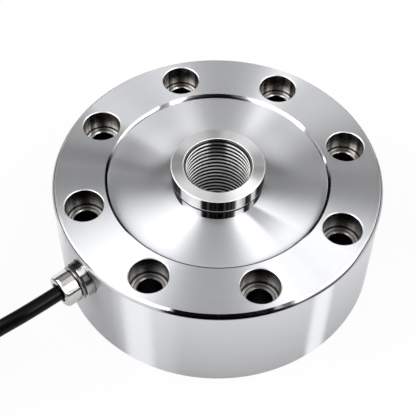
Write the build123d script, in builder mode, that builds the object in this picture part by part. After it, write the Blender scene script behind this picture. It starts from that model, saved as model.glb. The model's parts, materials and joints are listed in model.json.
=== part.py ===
from build123d import *
import os
from math import cos, pi, radians, sin, tan

# A pancake load cell: a low round force sensor. Its outer ring is bolted down, the load
# screws into the threaded hub, and four spokes between them carry the strain gauges.
# Millimetres, +Z up, origin at the centre of the mounting face. The cable leaves along -X.

# Flexure body, outside
body_dia = 120.0
ring_height = 43.0
top_edge = 1.4
base_edge = 0.5
recess_depth = 2.0
recess_edge = 0.4
dish_drop = 2.6
hub_rise = 6.0
collar_dia = 34.0
collar_height = 6.0
collar_step = 0.5
collar_edge = 0.3
bore_dia = 24.0
bore_edge = 0.8
hub_lift = 1.0

# Bolt circle, for M8 socket head screws, and the metal left beside its holes
bolt_inset = 10.5
bolt_count = 8
bolt_hole_dia = 9.0
bolt_seat_dia = 14.0
bolt_seat_depth = 8.6
bolt_hole_edge = 0.3
recess_web = 2.2
cover_web = 1.2

# Spokes and the pockets between them
spoke_count = 4
spoke_width = 10.0
spoke_clear = 1.0
pocket_corner_share = 2 / 13
hub_core_dia = 37.0
dish_thickness = 3.0

# Bottom cover, its gasket, seal and screws
cover_thickness = 2.0
cover_recess = 1.0
cover_gap = 0.3
gasket_width = 5.2
gasket_thickness = 0.6
hub_seal_width = 2.0
hub_seal_height = 1.2
seal_gap = 0.05
cover_screw_inset = 2.7
cover_screw_count = 8
cover_screw_dia = 2.5
cover_screw_head = 4.6
cover_screw_length = 7.0
screw_gap = 0.1

# Bridge board under the spokes
board_bottom = 8.8
board_thickness = 1.2
board_bore_share = 0.28
board_gap = 0.3
board_lug_width = 5.0
board_screw_inset = 2.5
board_screw_dia = 2.5
board_screw_head = 4.5
board_screw_head_height = 1.7
board_screw_length = 6.0

# Strain gauges, their solder terminals and leads, on both flanks of each spoke
gauge_side = 7.0
gauge_thickness = 0.2
gauge_height = 24.5
terminal_width = 6.0
terminal_height = 3.6
terminal_thickness = 0.8
terminal_gap = 2.2
lead_width = 2.4
lead_thickness = 0.5
lead_foot = 2.2

# Trim resistors
resistor_length = 5.0
resistor_width = 2.4
resistor_height = 1.2
resistor_edge = 0.24

# Cable port in the ring's wall
port_roof = 0.2
port_seat_depth = 2.0
port_seat_gap = 0.3
port_bore_dia = 10.0
port_bore_depth = 14.0
wire_hole_dia = 4.0

# Cable gland, screwed into the port
boss_dia = 13.2
boss_length = 2.8
spigot_gap = 1.0
thread_gap = 0.05
port_seal_thickness = 0.5
nose_dia = 8.8
nose_length = 5.4
nose_cup_dia = 7.2
nose_cup_depth = 3.0
gland_seal_dia = 11.8
gland_seal_width = 0.5
lock_ring_dia = 12.9
lock_ring_width = 0.9
gland_edge = 0.3
nut_across_flats = 11.2
nut_corner_dia = 12.1
nut_collar_dia = 10.4
nut_collar_width = 0.6
nut_length = 6.2
nut_round = 1.2
mouth_gap = 0.1
bush_gap = 0.05
bush_setback = 0.6

# Cable: four cores in a black jacket
cable_dia = 5.4
cable_gap = 0.1
jacket_gap = 0.4
core_dia = 1.2
core_pitch = 1.5
core_bend = 4.0
core_wall_gap = 5.0
core_nest = 1.6
drain_dia = 0.7

# Coil of the spare cable, tied, beside the load cell
coil_x = -135.0
coil_y = 44.9
coil_mean_dia = 61.6
coil_columns = 4
coil_layers = 4
coil_slot_angle = 35.0
slot_gap = 0.1
tie_thickness = 1.0
tie_width = 5.0
tie_gap = 0.3
tie_count = 2
tie_start = 20.0
bench_gap = 0.1
tail_length = 32.0
tail_straight = 6.0
tail_inner_fan = 2.3
tail_outer_fan = 7.4

# Worked out from the sizes above: the body
ring_r = body_dia / 2
neck_dia = collar_dia - 2 * collar_step
bolt_circle_dia = body_dia - 2 * bolt_inset
recess_dia = bolt_circle_dia - bolt_seat_dia - 2 * (bolt_hole_edge + recess_web)
cover_seat_dia = bolt_circle_dia - bolt_hole_dia - 2 * (bolt_hole_edge + cover_web)
cover_dia = cover_seat_dia - 2 * cover_gap
pocket_dia = cover_dia - 2 * gasket_width
cover_screw_circle = cover_dia - 2 * cover_screw_inset
board_lug_bore = pocket_dia - 2 * board_lug_width
board_screw_circle = pocket_dia - 2 * board_screw_inset
hub_top = ring_height + hub_rise
recess_floor = ring_height - recess_depth
dish_foot = recess_floor - dish_drop
pocket_top = dish_foot - dish_thickness
cover_top = cover_recess + cover_thickness
ledge = cover_top + gasket_thickness
board_top = board_bottom + board_thickness
spoke_bottom = board_top + spoke_clear
bolt_seat = ring_height - bolt_seat_depth
spoke_start = 180 / spoke_count
bolt_start = 180 / bolt_count
flank_middle_r = (hub_core_dia + pocket_dia) / 4
spoke_length = (pocket_dia - hub_core_dia) / 2
pocket_corner = spoke_length * pocket_corner_share
board_bore = hub_core_dia + 2 * spoke_length * board_bore_share
terminal_middle = gauge_height - gauge_side / 2 - terminal_gap - terminal_height / 2

# The gland's stations, as distances outward from the body's centre along -X
gland_height = pocket_top - port_roof - wire_hole_dia / 2
gland_axis = Axis((0, 0, gland_height), (1, 0, 0))
port_seat_dia = boss_dia + 2 * port_seat_gap
port_seat_face = ring_r - port_seat_depth
port_bore_end = ring_r - port_bore_depth
spigot_end = port_bore_end + spigot_gap
jacket_end = spigot_end + jacket_gap
boss_back = port_seat_face + port_seal_thickness
boss_end = ring_r + boss_length
seal_face = boss_end + gland_seal_width
nut_back = seal_face + lock_ring_width
hex_back = nut_back + nut_collar_width
nose_end = boss_end + nose_length
nose_cup_face = nose_end - nose_cup_depth
nut_end = nut_back + nut_length
nut_mouth_dia = nose_cup_dia + 2 * mouth_gap
bush_end = nut_end - bush_setback

# The coil
cable_r = cable_dia / 2
coil_pitch = cable_dia
coil_wide = coil_columns * coil_pitch
coil_low = tie_thickness
coil_high = coil_low + coil_layers * coil_pitch
coil_outer_r = (coil_mean_dia + coil_wide) / 2
coil_inner_r = (coil_mean_dia - coil_wide) / 2
coil_turn_r = coil_outer_r - coil_pitch / 2
coil_front_y = coil_y - coil_turn_r

# Route of the free cable: out of the gland, then down and round into the coil's top turn
cable_points = [
    (-nut_end, 0, gland_height),
    (-83.0, 0, gland_height),
    (-96.5, 2.8, 30.2),
    (-110.0, 5.6, 24.6),
    (coil_x + 11.5, coil_front_y, coil_high - cable_r),
    (coil_x, coil_front_y, coil_high - cable_r),
]
# Route of its far end, out of the coil's lowest turn and onto the bench
end_points = [
    (coil_x, coil_front_y, coil_low + cable_r),
    (coil_x - 8.0, coil_front_y, coil_low + cable_r),
    (coil_x - 16.0, coil_front_y - 0.8, cable_r + bench_gap),
    (coil_x - 23.0, coil_front_y - 0.8, cable_r + bench_gap),
]

os.makedirs("parts", exist_ok=True)


def finish(piece, name):
    piece.part.label = name
    export_step(piece.part, f"parts/{name}.step")


def ring_section(inner_r, outer_r, low, high, mode=Mode.ADD):
    """A rectangle in the XZ plane, from one radius to another."""
    with Locations(((inner_r + outer_r) / 2, (low + high) / 2)):
        Rectangle(outer_r - inner_r, high - low, mode=mode)


def gland_section(start, end, inner_r, outer_r):
    """A rectangle above the gland's axis, seen along Y; distances run outward along -X."""
    with Locations((-(start + end) / 2, gland_height + (inner_r + outer_r) / 2)):
        Rectangle(end - start, outer_r - inner_r)


def flank_plane(spoke, side, height):
    """The plane on one flank of a spoke, facing into the pocket beside it."""
    turn = radians(spoke_start + 360 / spoke_count * spoke)
    along = Vector(cos(turn), sin(turn), 0)
    out = Vector(-sin(turn), cos(turn), 0) * side
    middle = along * flank_middle_r + out * (spoke_width / 2)
    return Plane(origin=middle + Vector(0, 0, height), x_dir=along, z_dir=out)


def corner_radii(points):
    """The largest arc that the two runs at each corner allow."""
    radii = []
    for before, corner, after in zip(points, points[1:], points[2:]):
        run_in = Vector(*corner) - Vector(*before)
        run_out = Vector(*after) - Vector(*corner)
        half_turn = radians(run_in.get_angle(run_out)) / 2
        radii.append(0.45 * min(run_in.length, run_out.length) / tan(half_turn))
    return radii


def swept_cable(points, diameter):
    """A round tube along straight runs joined by tangent arcs."""
    with BuildPart() as tube:
        with BuildLine() as path:
            FilletPolyline(*points, radius=corner_radii(points))
        with BuildSketch(Plane(origin=path.line @ 0, z_dir=path.line % 0)):
            Circle(diameter / 2)
        sweep()
    length = path.wires()[0].length
    print("radii", [round(radius, 1) for radius in corner_radii(points)], "length", round(length, 1))
    print("volume", round(tube.part.volume, 1), "expected", round(pi * diameter**2 / 4 * length, 1))
    return tube


# Flexure body: ring, dished face, hub and spokes, turned and milled from one blank
with BuildPart() as flexure_body:
    with BuildSketch(Plane.XZ) as body_section:
        with BuildLine():
            Polyline(
                (0, hub_lift),
                (hub_core_dia / 2, hub_lift),
                (hub_core_dia / 2, ledge),
                (cover_seat_dia / 2, ledge),
                (cover_seat_dia / 2, 0),
                (ring_r - base_edge, 0),
                (ring_r, base_edge),
                (ring_r, ring_height - top_edge),
                (ring_r - top_edge, ring_height),
                (recess_dia / 2 + recess_edge, ring_height),
                (recess_dia / 2, ring_height - recess_edge),
                (recess_dia / 2, recess_floor),
                (neck_dia / 2, dish_foot),
                (neck_dia / 2, hub_top - collar_height),
                (collar_dia / 2 - collar_edge, hub_top - collar_height),
                (collar_dia / 2, hub_top - collar_height + collar_edge),
                (collar_dia / 2, hub_top - collar_edge),
                (collar_dia / 2 - collar_edge, hub_top),
                (0, hub_top),
                close=True,
            )
        make_face()
    revolve(axis=Axis.Z)
    # Annular channel for the board, with a lug left at the root of each spoke
    with BuildSketch(Plane.XY.offset(ledge)):
        Circle(pocket_dia / 2)
        Circle(hub_core_dia / 2, mode=Mode.SUBTRACT)
    extrude(amount=board_top - ledge, mode=Mode.SUBTRACT)
    with BuildSketch(Plane.XY.offset(board_top)):
        Circle(board_lug_bore / 2)
        Circle(hub_core_dia / 2, mode=Mode.SUBTRACT)
    extrude(amount=spoke_bottom - board_top, mode=Mode.SUBTRACT)
    # Pockets between the spokes
    with BuildSketch(Plane.XY.offset(board_top)) as pockets:
        Circle(pocket_dia / 2)
        Circle(hub_core_dia / 2, mode=Mode.SUBTRACT)
        with PolarLocations(pocket_dia / 2, spoke_count, start_angle=spoke_start):
            Rectangle(pocket_dia, spoke_width, mode=Mode.SUBTRACT)
        fillet(pockets.vertices(), pocket_corner)
    extrude(amount=pocket_top - board_top, mode=Mode.SUBTRACT)
    # Threaded bore through the hub, chamfered at both mouths
    with BuildSketch(Plane.XZ):
        with BuildLine():
            Polyline(
                (0, hub_lift),
                (bore_dia / 2 + bore_edge, hub_lift),
                (bore_dia / 2, hub_lift + bore_edge),
                (bore_dia / 2, hub_top - bore_edge),
                (bore_dia / 2 + bore_edge, hub_top),
                (0, hub_top),
                close=True,
            )
        make_face()
    revolve(axis=Axis.Z, mode=Mode.SUBTRACT)
    # Bolt holes with seats for socket heads
    with BuildSketch(Plane.XZ) as bolt_section:
        with BuildLine():
            Polyline(
                (0, 0),
                (bolt_hole_dia / 2 + bolt_hole_edge, 0),
                (bolt_hole_dia / 2, bolt_hole_edge),
                (bolt_hole_dia / 2, bolt_seat - bolt_hole_edge),
                (bolt_hole_dia / 2 + bolt_hole_edge, bolt_seat),
                (bolt_seat_dia / 2, bolt_seat),
                (bolt_seat_dia / 2, ring_height - bolt_hole_edge),
                (bolt_seat_dia / 2 + bolt_hole_edge, ring_height),
                (0, ring_height),
                close=True,
            )
        make_face()
    bolt_cutter = revolve(axis=Axis.Z, mode=Mode.PRIVATE)
    with PolarLocations(bolt_circle_dia / 2, bolt_count, start_angle=bolt_start):
        add(bolt_cutter, mode=Mode.SUBTRACT)
    # Tapped holes for the cover screws and the board screws
    with BuildSketch(Plane.XY.offset(ledge)):
        with PolarLocations(cover_screw_circle / 2, cover_screw_count):
            Circle(cover_screw_dia / 2)
    extrude(amount=cover_screw_length, mode=Mode.SUBTRACT)
    with BuildSketch(Plane.XY.offset(board_top)):
        with PolarLocations(board_screw_circle / 2, spoke_count, start_angle=spoke_start):
            Circle(board_screw_dia / 2)
    extrude(amount=board_screw_length, mode=Mode.SUBTRACT)
    # Cable port: a flat seat, a tapped bore and a wire hole into the pocket
    with BuildSketch(Plane.XZ):
        gland_section(port_seat_face, ring_r + top_edge, 0, port_seat_dia / 2)
        gland_section(port_bore_end, port_seat_face, 0, port_bore_dia / 2)
        gland_section(pocket_dia / 2 - pocket_corner, port_bore_end, 0, wire_hole_dia / 2)
    revolve(axis=gland_axis, mode=Mode.SUBTRACT)
finish(flexure_body, "flexure_body")

# Bottom cover: a turned annular plate, with a seat for the hub seal round its bore
cover_bore_r = hub_core_dia / 2 + cover_gap
seal_seat_r = hub_core_dia / 2 + seal_gap * 2 + hub_seal_width
seal_seat = cover_top - hub_seal_height
head_depth = (cover_screw_head - cover_screw_dia) / 2
with BuildPart() as bottom_cover:
    with BuildSketch(Plane.XZ):
        ring_section(cover_bore_r, seal_seat_r, cover_recess, seal_seat)
        ring_section(seal_seat_r, cover_dia / 2, cover_recess, cover_top)
    revolve(axis=Axis.Z)
    with BuildSketch(Plane.XZ):
        hole_r = cover_screw_dia / 2 + screw_gap
        with BuildLine():
            Polyline(
                (0, cover_recess),
                (hole_r + head_depth, cover_recess),
                (hole_r, cover_recess + head_depth),
                (hole_r, cover_top),
                (0, cover_top),
                close=True,
            )
        make_face()
    countersink = revolve(axis=Axis.Z, mode=Mode.PRIVATE)
    with PolarLocations(cover_screw_circle / 2, cover_screw_count):
        add(countersink, mode=Mode.SUBTRACT)
finish(bottom_cover, "bottom_cover")

with BuildPart() as cover_gasket:
    with BuildSketch(Plane.XY.offset(cover_top)):
        Circle(cover_dia / 2)
        Circle(pocket_dia / 2 + cover_gap, mode=Mode.SUBTRACT)
        with PolarLocations(cover_screw_circle / 2, cover_screw_count):
            Circle(cover_screw_dia / 2 + screw_gap, mode=Mode.SUBTRACT)
    extrude(amount=gasket_thickness)
finish(cover_gasket, "cover_gasket")

with BuildPart() as hub_seal:
    with BuildSketch(Plane.XZ):
        seal_r = hub_core_dia / 2 + seal_gap
        ring_section(seal_r, seal_r + hub_seal_width, seal_seat, cover_top)
    revolve(axis=Axis.Z)
finish(hub_seal, "hub_seal")

with BuildPart() as cover_screws:
    with BuildSketch(Plane.XZ):
        shank_r = cover_screw_dia / 2 - thread_gap
        with BuildLine():
            Polyline(
                (0, cover_recess),
                (shank_r + head_depth, cover_recess),
                (shank_r, cover_recess + head_depth),
                (shank_r, cover_recess + cover_screw_length),
                (0, cover_recess + cover_screw_length),
                close=True,
            )
        make_face()
    cover_screw = revolve(axis=Axis.Z, mode=Mode.PRIVATE)
    with PolarLocations(cover_screw_circle / 2, cover_screw_count):
        add(cover_screw)
finish(cover_screws, "cover_screws")

# Bridge board: an annular circuit board, screwed to the lugs at the spokes' roots
with BuildPart() as bridge_board:
    with BuildSketch(Plane.XY.offset(board_bottom)):
        Circle(pocket_dia / 2 - board_gap)
        Circle(board_bore / 2, mode=Mode.SUBTRACT)
        with PolarLocations(board_screw_circle / 2, spoke_count, start_angle=spoke_start):
            Circle(board_screw_dia / 2 + screw_gap, mode=Mode.SUBTRACT)
    extrude(amount=board_thickness)
finish(bridge_board, "bridge_board")

with BuildPart() as board_screws:
    with BuildSketch(Plane.XZ):
        head_low = board_bottom - board_screw_head_height
        shank_r = board_screw_dia / 2 - thread_gap
        ring_section(0, board_screw_head / 2, head_low, board_bottom)
        ring_section(0, shank_r, board_bottom, board_bottom + board_screw_length)
    board_screw = revolve(axis=Axis.Z, mode=Mode.PRIVATE)
    with PolarLocations(board_screw_circle / 2, spoke_count, start_angle=spoke_start):
        add(board_screw)
finish(board_screws, "board_screws")

# Trim resistors under the board, one in each pocket
resistor_names = ("span_resistor", "zero_resistor", "span_drift_resistor", "zero_drift_resistor")
resistor_circle_r = (pocket_dia + board_bore) / 4
for number, name in enumerate(resistor_names):
    turn = 360 / len(resistor_names) * number
    with BuildPart() as resistor:
        with BuildSketch(Plane.XY.offset(board_bottom)):
            with PolarLocations(resistor_circle_r, 1, start_angle=turn):
                Rectangle(resistor_width, resistor_length)
        extrude(amount=-resistor_height)
        chamfer(resistor.faces().sort_by(Axis.Z)[0].edges(), resistor_edge)
    finish(resistor, name)

# Strain gauges, solder terminals and ribbon leads on both flanks of each spoke
for number in range(2 * spoke_count):
    spoke = number // 2
    side = 1 if number % 2 else -1
    with BuildPart() as strain_gauge:
        with BuildSketch(flank_plane(spoke, side, gauge_height)):
            Rectangle(gauge_side, gauge_side)
        extrude(amount=gauge_thickness)
    finish(strain_gauge, f"strain_gauge_{number + 1}")
    with BuildPart() as solder_terminal:
        with BuildSketch(flank_plane(spoke, side, terminal_middle)):
            Rectangle(terminal_width, terminal_height)
        extrude(amount=terminal_thickness)
    finish(solder_terminal, f"solder_terminal_{number + 1}")
    # The lead runs down from the terminal's face and turns outward on the board
    foot = flank_plane(spoke, side, board_top)
    lead_plane = Plane(origin=foot.origin, x_dir=foot.z_dir, z_dir=foot.x_dir * -side)
    lead_up = 1 if lead_plane.y_dir.Z > 0 else -1
    lead_rise = terminal_middle - board_top
    with BuildPart() as ribbon_lead:
        with BuildSketch(lead_plane):
            with BuildLine():
                Polyline(
                    (terminal_thickness, 0),
                    (terminal_thickness + lead_foot, 0),
                    (terminal_thickness + lead_foot, lead_up * lead_thickness),
                    (terminal_thickness + lead_thickness, lead_up * lead_thickness),
                    (terminal_thickness + lead_thickness, lead_up * lead_rise),
                    (terminal_thickness, lead_up * lead_rise),
                    close=True,
                )
            make_face()
        extrude(amount=lead_width / 2, both=True)
    finish(ribbon_lead, f"ribbon_lead_{number + 1}")

# Cable gland, all turned about one axis
with BuildPart() as port_seal:
    with BuildSketch(Plane.XZ):
        gland_section(port_seat_face, boss_back, port_bore_dia / 2, boss_dia / 2)
    revolve(axis=gland_axis)
finish(port_seal, "port_seal")

# Adapter: a spigot in the port, a boss against the wall and a nose for the nut
with BuildPart() as gland_adapter:
    with BuildSketch(Plane.XZ):
        gland_section(spigot_end, boss_back, 0, port_bore_dia / 2 - thread_gap)
        gland_section(boss_back, boss_end, 0, boss_dia / 2)
        gland_section(boss_end, nose_end, 0, nose_dia / 2)
    revolve(axis=gland_axis)
    boss_rims = gland_adapter.edges().filter_by(GeomType.CIRCLE)
    chamfer(boss_rims.sort_by(SortBy.RADIUS)[-2:], gland_edge)
    with BuildSketch(Plane.XZ):
        gland_section(spigot_end, nose_cup_face, 0, cable_r + cable_gap)
        gland_section(nose_cup_face, nose_end, 0, nose_cup_dia / 2)
    revolve(axis=gland_axis, mode=Mode.SUBTRACT)
finish(gland_adapter, "gland_adapter")

with BuildPart() as gland_seal:
    with BuildSketch(Plane.XZ):
        gland_section(boss_end, seal_face, nose_dia / 2 + thread_gap, gland_seal_dia / 2)
    revolve(axis=gland_axis)
finish(gland_seal, "gland_seal")

with BuildPart() as lock_ring:
    with BuildSketch(Plane.XZ):
        gland_section(seal_face, nut_back, nose_dia / 2 + thread_gap, lock_ring_dia / 2)
    revolve(axis=gland_axis)
    ring_rims = lock_ring.edges().filter_by(GeomType.CIRCLE)
    chamfer(ring_rims.sort_by(SortBy.RADIUS)[-2:], gland_edge)
finish(lock_ring, "lock_ring")

# Dome nut: a hexagon with its corners turned off and its front rounded
with BuildPart() as gland_nut:
    with BuildSketch(Plane(origin=(-hex_back, 0, gland_height), z_dir=(-1, 0, 0))):
        RegularPolygon(nut_across_flats / 2, 6, major_radius=False)
    extrude(amount=nut_end - hex_back)
    with BuildSketch(Plane.XZ) as nut_envelope:
        gland_section(hex_back, nut_end, 0, nut_corner_dia / 2)
        front = nut_envelope.vertices().sort_by(Axis.X)[:2].sort_by(Axis.Y)[-1]
        fillet(front, nut_round)
    revolve(axis=gland_axis, mode=Mode.INTERSECT)
    with BuildSketch(Plane.XZ):
        gland_section(nut_back, hex_back, 0, nut_collar_dia / 2)
    revolve(axis=gland_axis)
    with BuildSketch(Plane.XZ):
        gland_section(nut_back, nose_end + thread_gap, 0, nose_dia / 2 + thread_gap)
        gland_section(nose_end, nut_end, 0, nut_mouth_dia / 2)
    revolve(axis=gland_axis, mode=Mode.SUBTRACT)
finish(gland_nut, "gland_nut")

with BuildPart() as gland_bush:
    with BuildSketch(Plane.XZ):
        bush_outer_r = nose_cup_dia / 2 - bush_gap
        gland_section(nose_cup_face, bush_end, cable_r + bush_gap, bush_outer_r)
    revolve(axis=gland_axis)
finish(gland_bush, "gland_bush")

# Cable inside the gland, and its cores down to the board
with BuildPart() as cable_entry:
    with BuildSketch(Plane.XZ):
        gland_section(jacket_end, nut_end, 0, cable_r)
    revolve(axis=gland_axis)
finish(cable_entry, "cable_entry")

core_names = ("red", "black", "green", "white")
core_corners = ((-1, 1), (-1, -1), (1, -1), (1, 1))
core_drop = pocket_dia / 2 - core_wall_gap
for colour, (side, level) in zip(core_names, core_corners):
    core_y = side * core_pitch / 2
    core_z = gland_height + level * core_pitch / 2
    drop_x = -(core_drop if level > 0 else core_drop + core_nest)
    with BuildPart() as core:
        with BuildLine() as core_path:
            FilletPolyline(
                (-jacket_end, core_y, core_z),
                (drop_x, core_y, core_z),
                (drop_x, core_y, board_top),
                radius=core_bend,
            )
        with BuildSketch(Plane(origin=core_path.line @ 0, z_dir=core_path.line % 0)):
            Circle(core_dia / 2)
        sweep()
    finish(core, f"core_{colour}")

# The free cable and its far end
cable = swept_cable(cable_points, cable_dia)
finish(cable, "cable")
cable_end = swept_cable(end_points, cable_dia)
finish(cable_end, "cable_end")

# The coil fills a ring; beside its first and last turns it leaves room for the two ends
coil_axis = Axis((coil_x, coil_y, 0), (0, 0, 1))
coil_axis_down = Axis((coil_x, coil_y, 0), (0, 0, -1))
coil_section_plane = Plane(origin=(coil_x, coil_y, 0), x_dir=(0, -1, 0), z_dir=(-1, 0, 0))
with BuildPart() as cable_coil:
    with BuildSketch(coil_section_plane):
        ring_section(coil_inner_r, coil_outer_r, coil_low, coil_high)
    revolve(axis=coil_axis)
    slot_r = coil_outer_r - coil_pitch - slot_gap
    with BuildSketch(coil_section_plane):
        ring_section(slot_r, coil_outer_r + slot_gap, coil_high - coil_pitch - slot_gap, coil_high)
    revolve(axis=coil_axis, revolution_arc=coil_slot_angle, mode=Mode.SUBTRACT)
    with BuildSketch(coil_section_plane):
        ring_section(slot_r, coil_outer_r + slot_gap, coil_low, coil_low + coil_pitch + slot_gap)
    revolve(axis=coil_axis_down, revolution_arc=coil_slot_angle, mode=Mode.SUBTRACT)
finish(cable_coil, "cable_coil")

# Two flat ties round the coil's section, on which it lies
tie_low_r = coil_inner_r - tie_gap
tie_high_r = coil_outer_r + tie_gap
tie_top = coil_high + tie_gap + tie_thickness
for number in range(tie_count):
    turn = radians(tie_start + 360 / tie_count * number)
    tie_plane = Plane(
        origin=(coil_x, coil_y, 0),
        x_dir=(cos(turn), sin(turn), 0),
        z_dir=(sin(turn), -cos(turn), 0),
    )
    with BuildPart() as coil_tie:
        with BuildSketch(tie_plane) as strap:
            ring_section(tie_low_r - tie_thickness, tie_high_r + tie_thickness, 0, tie_top)
            fillet(strap.vertices(), tie_thickness)
            ring_section(
                tie_low_r, tie_high_r, tie_thickness, tie_top - tie_thickness, mode=Mode.SUBTRACT
            )
        extrude(amount=tie_width / 2, both=True)
    finish(coil_tie, f"coil_tie_{number + 1}")

# Bare tails: the same four cores, fanned out on the bench
tail_x, tail_y, tail_z = end_points[-1]
tail_end_z = core_dia / 2 + thread_gap
for colour, (side, level) in zip(core_names, core_corners):
    start_y = tail_y + side * core_pitch / 2
    start_z = tail_z + level * core_pitch / 2
    fan_y = tail_y + side * (tail_outer_fan if level > 0 else tail_inner_fan)
    tail_points = [
        (tail_x, start_y, start_z),
        (tail_x - tail_straight, start_y, start_z),
        (tail_x - tail_length / 2, (start_y + fan_y) / 2, tail_end_z),
        (tail_x - tail_length, fan_y, tail_end_z),
    ]
    tail = swept_cable(tail_points, core_dia)
    finish(tail, f"tail_{colour}")

# Bare drain wire of the cable's screen, between the cores
drain_z = drain_dia / 2 + thread_gap
drain_points = [
    (tail_x, tail_y, tail_z),
    (tail_x - tail_straight, tail_y, tail_z),
    (tail_x - tail_length / 2, tail_y, drain_z),
    (tail_x - tail_length, tail_y - tail_inner_fan / 4, drain_z),
]
tail_drain = swept_cable(drain_points, drain_dia)
finish(tail_drain, "tail_drain")
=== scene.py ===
import json
from math import cos, pi, radians, sin

import bmesh
import bpy
from mathutils import Matrix, Vector


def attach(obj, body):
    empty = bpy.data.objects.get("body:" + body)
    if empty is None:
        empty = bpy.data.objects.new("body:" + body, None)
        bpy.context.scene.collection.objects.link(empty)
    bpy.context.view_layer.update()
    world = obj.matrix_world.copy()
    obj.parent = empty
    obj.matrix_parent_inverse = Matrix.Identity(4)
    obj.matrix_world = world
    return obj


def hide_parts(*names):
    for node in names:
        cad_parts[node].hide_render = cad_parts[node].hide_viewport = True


# Dresses the pancake load cell: turned steel body with its threaded hub, nickel-plated cable
# gland, and three metres of glossy black cable wound up beside it. Metres throughout.

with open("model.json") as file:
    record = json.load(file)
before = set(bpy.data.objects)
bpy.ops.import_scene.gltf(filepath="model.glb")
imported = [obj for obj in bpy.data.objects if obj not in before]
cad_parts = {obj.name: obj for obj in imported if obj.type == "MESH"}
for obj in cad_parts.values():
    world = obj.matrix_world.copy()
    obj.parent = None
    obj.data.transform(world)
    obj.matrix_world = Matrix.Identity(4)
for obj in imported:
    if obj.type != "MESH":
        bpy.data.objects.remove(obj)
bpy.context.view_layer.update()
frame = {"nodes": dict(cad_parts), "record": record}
cad = frame["nodes"]
scene = bpy.context.scene


def box_of(node_name):
    """The lowest and highest coordinates of a CAD node, to a micrometre."""
    axes = list(zip(*cad[node_name].bound_box))
    return [round(min(axis), 6) for axis in axes], [round(max(axis), 6) for axis in axes]


# Sizes of the solids that the finishes and the loose pieces follow
mounts = {mount["name"]: mount["dims"] for mount in frame["record"]["mounts"]}
body_high = box_of("flexure_body")[1]
body_radius = body_high[0]
hub_top = body_high[2]
ring_top = hub_top - 0.006
recess_floor = ring_top - 0.002
recess_edge = 0.0004
collar_radius = 0.017
collar_foot = hub_top - 0.006
thread_radius = mounts["hub_thread"]["r_mm"] / 1000
bore_mouth = thread_radius + 0.0008
bolt_count = mounts["bolt_circle"]["count"]
bolt_circle_radius = mounts["bolt_circle"]["pcd_mm"] / 2000
bolt_seat_radius = 0.007
bolt_shelf = ring_top - 0.0086
recess_radius = bolt_circle_radius - bolt_seat_radius - 0.0022
gland_height = 0.0332
nut_low, nut_high = box_of("gland_nut")
nut_mouth, nut_foot = nut_low[0], nut_high[0]
lock_ring_foot = box_of("lock_ring")[1][0]

# The hub's thread: its ridges reach from just inside the wall of the bore to the crest
thread_root = thread_radius + 0.00004
thread_crest = thread_radius - 0.0005

# Angles round the part's axis, in degrees: the side that the photo shows in front, and behind it
front_side = -129.0
far_side = 51.0

# The camera looks down at the dish from the front left, slightly rolled
camera_place = Vector((-0.15038, -0.17483, 0.32939))
camera_right = Vector((0.77609, -0.63054, 0.01021))
camera_up = Vector((0.49907, 0.62401, 0.60129))
camera_back = Vector((-0.38551, -0.46155, 0.79897))


def set_camera():
    lens = bpy.data.cameras.new("camera")
    lens.lens = 87.6
    lens.sensor_width = 36.0
    camera = bpy.data.objects.new("camera", lens)
    scene.collection.objects.link(camera)
    turn = Matrix((camera_right, camera_up, camera_back)).transposed().to_4x4()
    camera.matrix_world = Matrix.Translation(camera_place) @ turn
    scene.camera = camera


set_camera()


# Small helpers for shader nodes. Their values are sockets or plain numbers.

def add_node(tree, kind, **settings):
    node = tree.nodes.new(kind)
    for key, value in settings.items():
        setattr(node, key, value)
    return node


def feed(tree, slot, value):
    """Sets a slot to a number or to a colour in three parts, or links a socket to it."""
    if isinstance(value, (int, float)):
        slot.default_value = value
    elif isinstance(value, tuple):
        slot.default_value = (*value, 1.0)
    else:
        tree.links.new(value, slot)


def math_node(tree, operation, *values):
    node = add_node(tree, "ShaderNodeMath", operation=operation)
    for slot, value in zip(node.inputs, values):
        feed(tree, slot, value)
    return node.outputs[0]


def add(tree, first, second):
    return math_node(tree, "ADD", first, second)


def subtract(tree, first, second):
    return math_node(tree, "SUBTRACT", first, second)


def multiply(tree, result, *others):
    for other in others:
        result = math_node(tree, "MULTIPLY", result, other)
    return result


def absolute(tree, value):
    return math_node(tree, "ABSOLUTE", value)


def ramp_node(tree, value, low, high, to_low=0.0, to_high=1.0, smooth=True):
    """Maps a value from one range to another, with clamped ends."""
    node = add_node(tree, "ShaderNodeMapRange")
    node.interpolation_type = "SMOOTHSTEP" if smooth else "LINEAR"
    for label, part in (
        ("Value", value), ("From Min", low), ("From Max", high), ("To Min", to_low),
        ("To Max", to_high),
    ):
        feed(tree, node.inputs[label], part)
    return node.outputs["Result"]


def band_node(tree, value, rise, fall, strength=1.0):
    """From 0 up to the strength over the first range, and back to 0 over the second."""
    up = ramp_node(tree, value, *rise)
    down = ramp_node(tree, value, *fall, strength, 0.0)
    return multiply(tree, up, down)


def mix_colours(tree, factor, first, second, blend="MIX"):
    node = add_node(tree, "ShaderNodeMix", data_type="RGBA", blend_type=blend)
    for index, value in ((0, factor), (6, first), (7, second)):
        feed(tree, node.inputs[index], value)
    return node.outputs[2]


def grey(tone):
    return tone, tone, tone


def split_place(tree, place):
    """A point's three coordinates."""
    split = add_node(tree, "ShaderNodeSeparateXYZ")
    tree.links.new(place, split.inputs[0])
    return split.outputs


def angle_of(tree, across, along):
    return math_node(tree, "ARCTAN2", along, across)


def length_of(tree, across, along):
    squares = [multiply(tree, side, side) for side in (across, along)]
    return math_node(tree, "SQRT", add(tree, *squares))


def noise_line(tree, value, scale, detail):
    """Uneven lines across one value, such as a radius, a height or an angle."""
    noise = add_node(tree, "ShaderNodeTexNoise", noise_dimensions="1D")
    noise.inputs["Scale"].default_value = 1.0
    noise.inputs["Detail"].default_value = detail
    tree.links.new(multiply(tree, value, scale), noise.inputs["W"])
    return noise.outputs["Fac"]


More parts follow.
